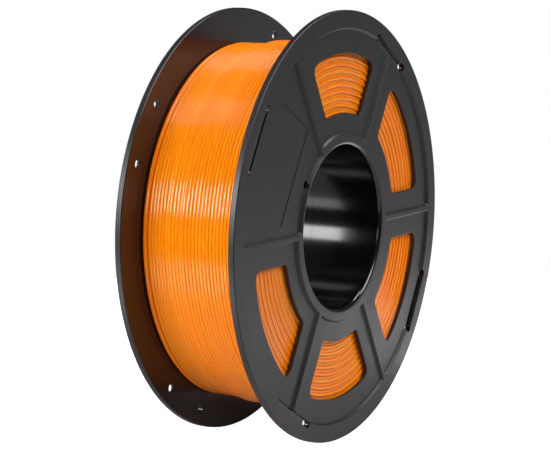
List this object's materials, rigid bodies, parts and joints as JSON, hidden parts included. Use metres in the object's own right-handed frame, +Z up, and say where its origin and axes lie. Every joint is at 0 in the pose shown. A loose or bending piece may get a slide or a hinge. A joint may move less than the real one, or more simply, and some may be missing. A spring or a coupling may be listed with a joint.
{
  "type": "filament spool",
  "caption": "Plastic spool of 3D printing filament: push-fit moulded halves with windowed flanges and an open bore, holding a wound strand.",
  "frame": {"origin": "middle of the spool, on its axis", "axes": "+Y along the spool's axis from the near flange to the far flange, +Z up as it stands on its rims"},
  "size_m": [0.2, 0.06, 0.2],
  "materials": {
    "black_moulding": "satin black moulded plastic, polished in the bore",
    "orange_strand": "glossy, slightly translucent orange strand"
  },
  "bodies": {
    "near_side": {"near_half": "black_moulding", "filament_winding": "orange_strand"},
    "far_side": {"far_half": "black_moulding"}
  },
  "joints": [
    {"name": "halves_part", "type": "slide", "parent": "near_side", "child": "far_side", "axis": [0, 1, 0], "range_m": [0, 0.012]}
  ]
}
